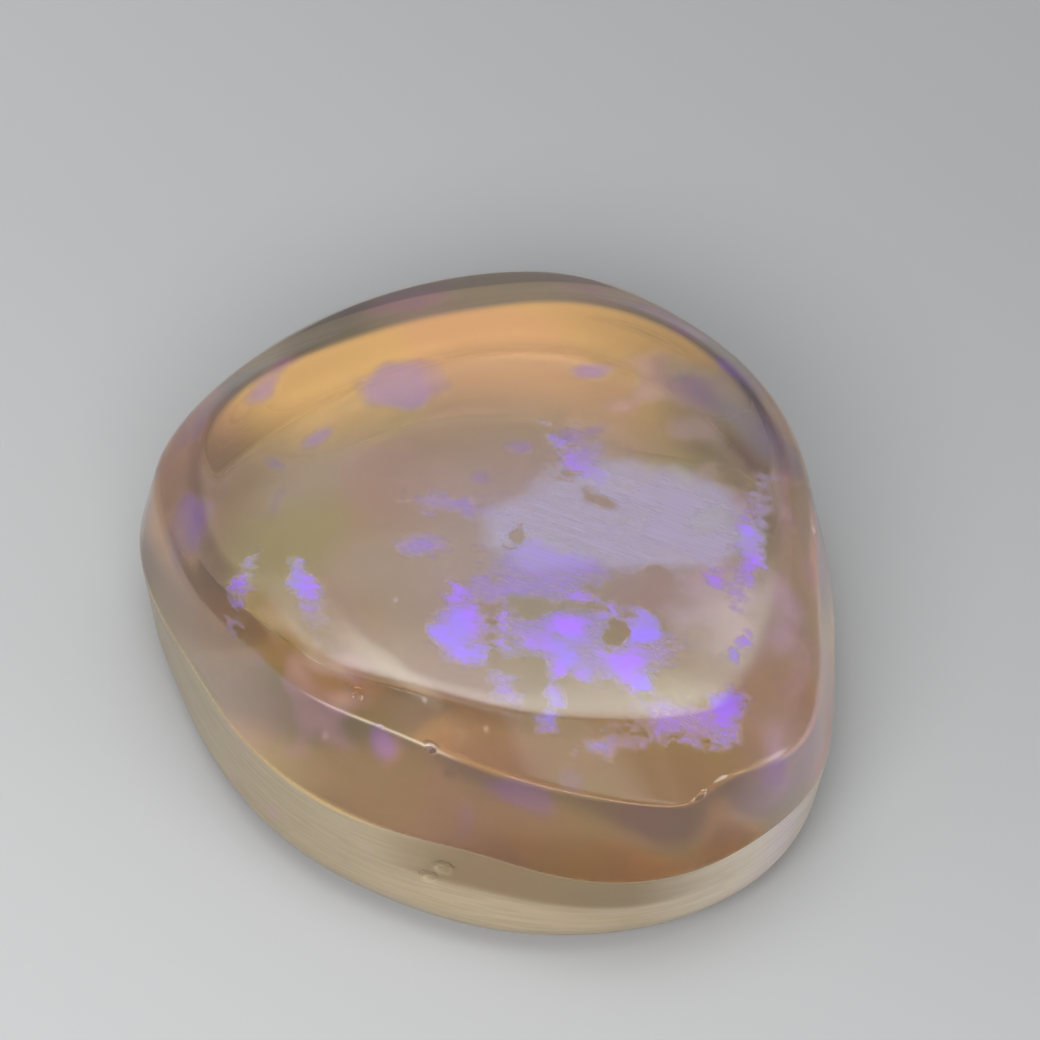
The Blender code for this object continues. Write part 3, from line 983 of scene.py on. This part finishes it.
def opal_material(colours):
    """See-through opal: refraction, honey absorption, tinted zones, patches of violet and blue, and a
    lavender haze of painted reflection.
    """
    material = bpy.data.materials.new("crystal_opal")
    material.use_nodes = True
    tree = material.node_tree
    shader = tree.nodes["Principled BSDF"]
    coordinates = tree.nodes.new("ShaderNodeTexCoord")
    places = mapped(tree, coordinates.outputs["Object"], (MM, MM, MM))

    streaky = mapped(tree, places, FRINGE_STRETCH, FRINGE_TURN)
    fringe = swing(tree, cloud(tree, streaky, *FRINGE_NOISE), FRINGE_SWING)
    slow_edge = swing(tree, cloud(tree, places, *SLOW_NOISE), SLOW_SWING)
    hairlines = cloud(tree, mapped(tree, places, HAIRLINE_STRETCH, HAIRLINE_TURN), *HAIRLINE_NOISE)

    open_share = maths(tree, "SUBTRACT", 1.0, patch_share(tree, "gap_reach", fringe, GAP_SOFT))
    # Painted reflection of the surroundings on the face, streaked with fine striations
    painted_reflection = maths(tree, "MULTIPLY", patch_share(tree, "reflection_reach", slow_edge, REFLECTION_SOFT), open_share)
    painted_reflection = maths(tree, "MULTIPLY", painted_reflection, ramp(tree, hairlines, 0.30, 0.70, *REFLECTION_HIDES))
    mist = maths(tree, "MULTIPLY", patch_share(tree, "mist_reach", fringe, MIST_SOFT), open_share)
    mist = maths(tree, "MULTIPLY", mist, ramp(tree, hairlines, 0.30, 0.70, *MIST_HIDES))
    shrunk = maths(tree, "ADD", fringe, FLASH_SHRINK)
    violet = maths(tree, "MULTIPLY", patch_share(tree, "violet_reach", shrunk, FLASH_SOFT), open_share)
    violet = maths(tree, "MULTIPLY", violet, ramp(tree, cloud(tree, streaky, 3.0), 0.35, 0.6, *FLASH_HIDES))

    hidden, colour = over(tree, painted_reflection, (*colours.painted_reflection_lavender, 1.0), mist, (*colours.orchid, 1.0))
    hidden, colour = over(tree, hidden, colour, violet, stored(tree, "flash", "Vector"))
    colour = mixed(tree, turned_share(tree, hidden), stored(tree, "tint", "Vector"), colour)
    clear = maths(tree, "MULTIPLY", stored(tree, "clearness"), maths(tree, "SUBTRACT", 1.0, hidden))
    frost = stored(tree, "frost")

    scratches = cloud(tree, mapped(tree, places, SCRATCH_STRETCH), *SCRATCH_NOISE)
    frosted = ramp(tree, frost, *SCRATCHED_FROST)
    streaks = maths(tree, "MULTIPLY", ramp(tree, scratches, 0.40, 0.62, 0.0, SCRATCH_DARKENS), frosted)
    colour = mixed(tree, streaks, colour, (*colours.ground_shade, 1.0))
    grain = maths(tree, "MULTIPLY", swing(tree, scratches, SCRATCH_GRAIN), frosted)
    bump = tree.nodes.new("ShaderNodeBump")
    link(tree, scratches, bump.inputs["Height"])
    link(tree, maths(tree, "MULTIPLY", frosted, SCRATCH_BUMP), bump.inputs["Strength"])
    bump.inputs["Distance"].default_value = SCRATCH_DEPTH * MM
    link(tree, bump.outputs["Normal"], shader.inputs["Normal"])

    link(tree, colour, shader.inputs["Base Color"])
    link(tree, clear, shader.inputs["Transmission Weight"])
    link(tree, maths(tree, "ADD", frost, grain), shader.inputs["Roughness"])
    shader.inputs["Metallic"].default_value = 0.0
    shader.inputs["IOR"].default_value = OPAL_INDEX
    absorption = tree.nodes.new("ShaderNodeVolumeAbsorption")
    absorption.inputs["Color"].default_value = (*colours.honey, 1.0)
    absorption.inputs["Density"].default_value = HONEY_DENSITY
    link(tree, absorption.outputs["Volume"], tree.nodes["Material Output"].inputs["Volume"])
    return material


def floor_material(colours):
    """Plain paper, a little paler towards the front left through painted light."""
    material = bpy.data.materials.new("stage_paper")
    material.use_nodes = True
    tree = material.node_tree
    shader = tree.nodes["Principled BSDF"]
    coordinates = tree.nodes.new("ShaderNodeTexCoord")
    turned = mapped(tree, coordinates.outputs["Object"], (MM, MM, MM), FLOOR_TURN)
    split = tree.nodes.new("ShaderNodeSeparateXYZ")
    link(tree, turned, split.inputs["Vector"])
    # Painted light on the paper, paler towards the front left
    near = ramp(tree, split.outputs["X"], *FLOOR_PAINTED_LIGHT_GROWS)
    colour = mixed(tree, near, (*colours.floor_far, 1.0), (*colours.floor_painted_light, 1.0))
    link(tree, colour, shader.inputs["Base Color"])
    shader.inputs["Roughness"].default_value = FLOOR_ROUGHNESS
    return material


def studio_world():
    """A bright ceiling that fades smoothly to dimmer walls."""
    world = bpy.data.worlds.new("studio")
    world.use_nodes = True
    tree = world.node_tree
    coordinates = tree.nodes.new("ShaderNodeTexCoord")
    split = tree.nodes.new("ShaderNodeSeparateXYZ")
    link(tree, coordinates.outputs["Generated"], split.inputs["Vector"])
    strength = ramp(tree, split.outputs["Z"], CEILING_EDGE, 1.0, WALL_BRIGHTNESS, CEILING_BRIGHTNESS)
    background = tree.nodes["Background"]
    background.inputs["Color"].default_value = (*SKY_COLOUR, 1.0)
    link(tree, strength, background.inputs["Strength"])
    return world


def soft_light(name, elevation, azimuth, width, depth, brightness, mirrored):
    """A softbox that looks at the stone from a direction, azimuth 0 being straight behind it."""
    light = bpy.data.lights.new(name, "AREA")
    light.shape = "ELLIPSE"
    light.size = width
    light.size_y = depth
    light.energy = brightness * math.pi * width * depth
    light.color = LAMP_COLOUR
    lamp = bpy.data.objects.new(name, light)
    lamp.visible_glossy = mirrored
    bpy.context.scene.collection.objects.link(lamp)
    rise = math.radians(elevation)
    turn = math.radians(azimuth)
    way = Vector((math.sin(turn) * math.cos(rise), math.cos(turn) * math.cos(rise), math.sin(rise)))
    lamp.location = Vector(SOFTBOX_AIM) * MM + way * SOFTBOX_DISTANCE
    lamp.rotation_euler = way.to_track_quat("Z", "Y").to_euler()


class OPAL_OT_stone(bpy.types.Operator):
    """Model the polished opal and give it its finish"""

    bl_idname = "opal.stone"
    bl_label = "Opal stone"

    def execute(self, context):
        sizes = context.scene.opal_sizes
        colours = context.scene.opal_colours
        stone = loft_stone(sizes)
        wear_stone(stone)
        finish_stone(stone, colours)
        bpy.ops.object.shade_smooth()
        stone.data.materials.append(opal_material(colours))
        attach(stone, "root")
        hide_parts("opal_stone")
        return {"FINISHED"}


class OPAL_OT_stage(bpy.types.Operator):
    """Set the plain floor, the soft lights and the camera"""

    bl_idname = "opal.stage"
    bl_label = "Opal stage"

    def execute(self, context):
        colours = context.scene.opal_colours
        deselect_all()
        bpy.ops.mesh.primitive_plane_add(size=FLOOR_SIZE, location=(0.0, 0.0, -FLOOR_DROP))
        floor = context.object
        floor.name = "stage_floor"
        floor.data.materials.append(floor_material(colours))
        for values in SOFTBOXES:
            soft_light(*values)
        context.scene.world = studio_world()
        context.scene.view_settings.view_transform = "Standard"
        set_camera(context.scene)
        return {"FINISHED"}


def set_camera(scene):
    """A long lens above the front of the stone, framed as the photograph is."""
    aim = Vector(CAMERA_AIM) * MM
    away = Vector((0.0, -math.cos(CAMERA_ELEVATION), math.sin(CAMERA_ELEVATION)))
    data = bpy.data.cameras.new("camera")
    data.sensor_width = SENSOR_WIDTH
    data.lens = SENSOR_WIDTH * CAMERA_DISTANCE / (FRAME_PIXELS / PIXELS_PER_METRE)
    data.clip_start = CAMERA_NEAREST
    data.clip_end = CAMERA_FARTHEST
    camera = bpy.data.objects.new("camera", data)
    camera.location = aim + away * CAMERA_DISTANCE
    camera.rotation_euler = away.to_track_quat("Z", "Y").to_euler()
    scene.collection.objects.link(camera)
    scene.camera = camera


class OPAL_PT_sidebar(bpy.types.Panel):
    """Lists the pieces of the opal"""

    bl_label = "Crystal opal"
    bl_idname = "OPAL_PT_sidebar"
    bl_space_type = "VIEW_3D"
    bl_region_type = "UI"
    bl_category = "Opal"

    def draw(self, context):
        sizes = context.scene.opal_sizes
        colours = context.scene.opal_colours
        for operator in (OPAL_OT_stone, OPAL_OT_stage):
            self.layout.operator(operator.bl_idname)
        for group in (sizes, colours):
            for name in group.__annotations__:
                self.layout.prop(group, name)


CLASSES = (OpalSizes, OpalColours, OPAL_OT_stone, OPAL_OT_stage, OPAL_PT_sidebar)


def register():
    for each in CLASSES:
        bpy.utils.register_class(each)
    bpy.types.Scene.opal_sizes = PointerProperty(type=OpalSizes)
    bpy.types.Scene.opal_colours = PointerProperty(type=OpalColours)


def unregister():
    del bpy.types.Scene.opal_colours
    del bpy.types.Scene.opal_sizes
    for each in reversed(CLASSES):
        bpy.utils.unregister_class(each)


def main():
    register()
    bpy.ops.opal.stage()
    bpy.ops.opal.stone()


if __name__ == "__main__":
    main()
